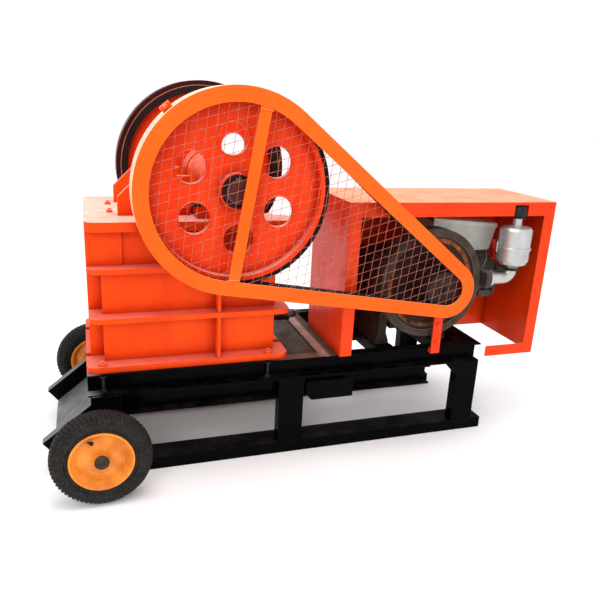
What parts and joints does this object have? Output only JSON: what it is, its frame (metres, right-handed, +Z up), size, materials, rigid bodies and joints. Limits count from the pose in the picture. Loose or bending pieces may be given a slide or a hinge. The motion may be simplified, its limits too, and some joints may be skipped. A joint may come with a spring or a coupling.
{
  "type": "diesel jaw crusher on a wheeled skid",
  "caption": "Jaw crusher on a steel skid with ground wheels, belt driven by a diesel engine under an open sheet hood, with a meshed belt guard and a discharge chute.",
  "frame": {"origin": "on the ground, under the front corner of the deck at the crusher end", "axes": "+X along the skid from the crusher to the engine, +Y from the belt side to the back, +Z up"},
  "size_m": [2.016, 0.954, 1.411],
  "materials": {
    "skid_paint": "gloss",
    "worn_steel": "worn",
    "axle_steel": "oily",
    "tyre_rubber": "matt",
    "rim_paint": "satin",
    "casting_paint": "satin",
    "jaw_steel": "rough",
    "wheel_paint": "satin",
    "guard_paint": "satin",
    "mesh_wire": "satin",
    "belt_rubber": "matt",
    "engine_iron": "oily",
    "tank_paint": "satin",
    "cleaner_metal": "satin",
    "hood_paint": "gloss"
  },
  "bodies": {
    "machine_frame": {"air_cleaner": "cleaner_metal", "axle": "axle_steel", "bearing_housings": "casting_paint", "chute_bars": "skid_paint", "chute_floor": "worn_steel", "cylinder_head": "engine_iron", "deck_beams": "skid_paint", "deck_cross_members": "skid_paint", "deck_plate": "worn_steel", "drive_belts": "belt_rubber", "end_wall_feed": "casting_paint", "end_wall_toggle": "casting_paint", "engine_block": "engine_iron", "engine_feet": "engine_iron", "fixed_jaw_plate": "jaw_steel", "fuel_tank": "tank_paint", "guard_band": "guard_paint", "guard_brace": "guard_paint", "guard_frame": "guard_paint", "guard_mesh": "mesh_wire", "guard_supports": "guard_paint", "hanger_plate": "skid_paint", "hood_back": "hood_paint", "hood_left": "hood_paint", "hood_lips": "hood_paint", "hood_right": "hood_paint", "hood_roof": "hood_paint", "intake_elbow": "cleaner_metal", "legs": "skid_paint", "side_wall_back": "casting_paint", "side_wall_front": "casting_paint", "skid_frame": "skid_paint", "support_rails": "skid_paint", "swing_jaw": "casting_paint", "swing_jaw_plate": "jaw_steel", "tension_rod": "axle_steel", "toggle_plate": "worn_steel"},
    "crusher_rotor": {"eccentric_shaft": "axle_steel", "drive_pulley": "wheel_paint", "flywheel": "wheel_paint"},
    "engine_rotor": {"engine_flywheel": "engine_iron", "engine_pulley": "engine_iron"},
    "ground_wheel_front": {"wheel_tyre_front": "tyre_rubber", "wheel_rim_front": "rim_paint"},
    "ground_wheel_back": {"wheel_tyre_back": "tyre_rubber", "wheel_rim_back": "rim_paint"}
  },
  "joints": [
    {"name": "crusher_shaft_spin", "type": "hinge", "parent": "machine_frame", "child": "crusher_rotor", "pos_m": [0.502, 0.285, 1.06], "axis": [0, 1, 0], "continuous": true},
    {"name": "engine_shaft_spin", "type": "hinge", "parent": "machine_frame", "child": "engine_rotor", "pos_m": [1.325, 0, 0.68], "axis": [0, 1, 0], "continuous": true},
    {"name": "ground_wheel_front_roll", "type": "hinge", "parent": "machine_frame", "child": "ground_wheel_front", "pos_m": [0.034, -0.1495, 0.17], "axis": [0, 1, 0], "continuous": true},
    {"name": "ground_wheel_back_roll", "type": "hinge", "parent": "machine_frame", "child": "ground_wheel_back", "pos_m": [0.034, 0.7195, 0.17], "axis": [0, 1, 0], "continuous": true}
  ],
  "couplings": [
    {"joint": "engine_shaft_spin", "follows": "crusher_shaft_spin", "ratio": 4.4839}
  ]
}
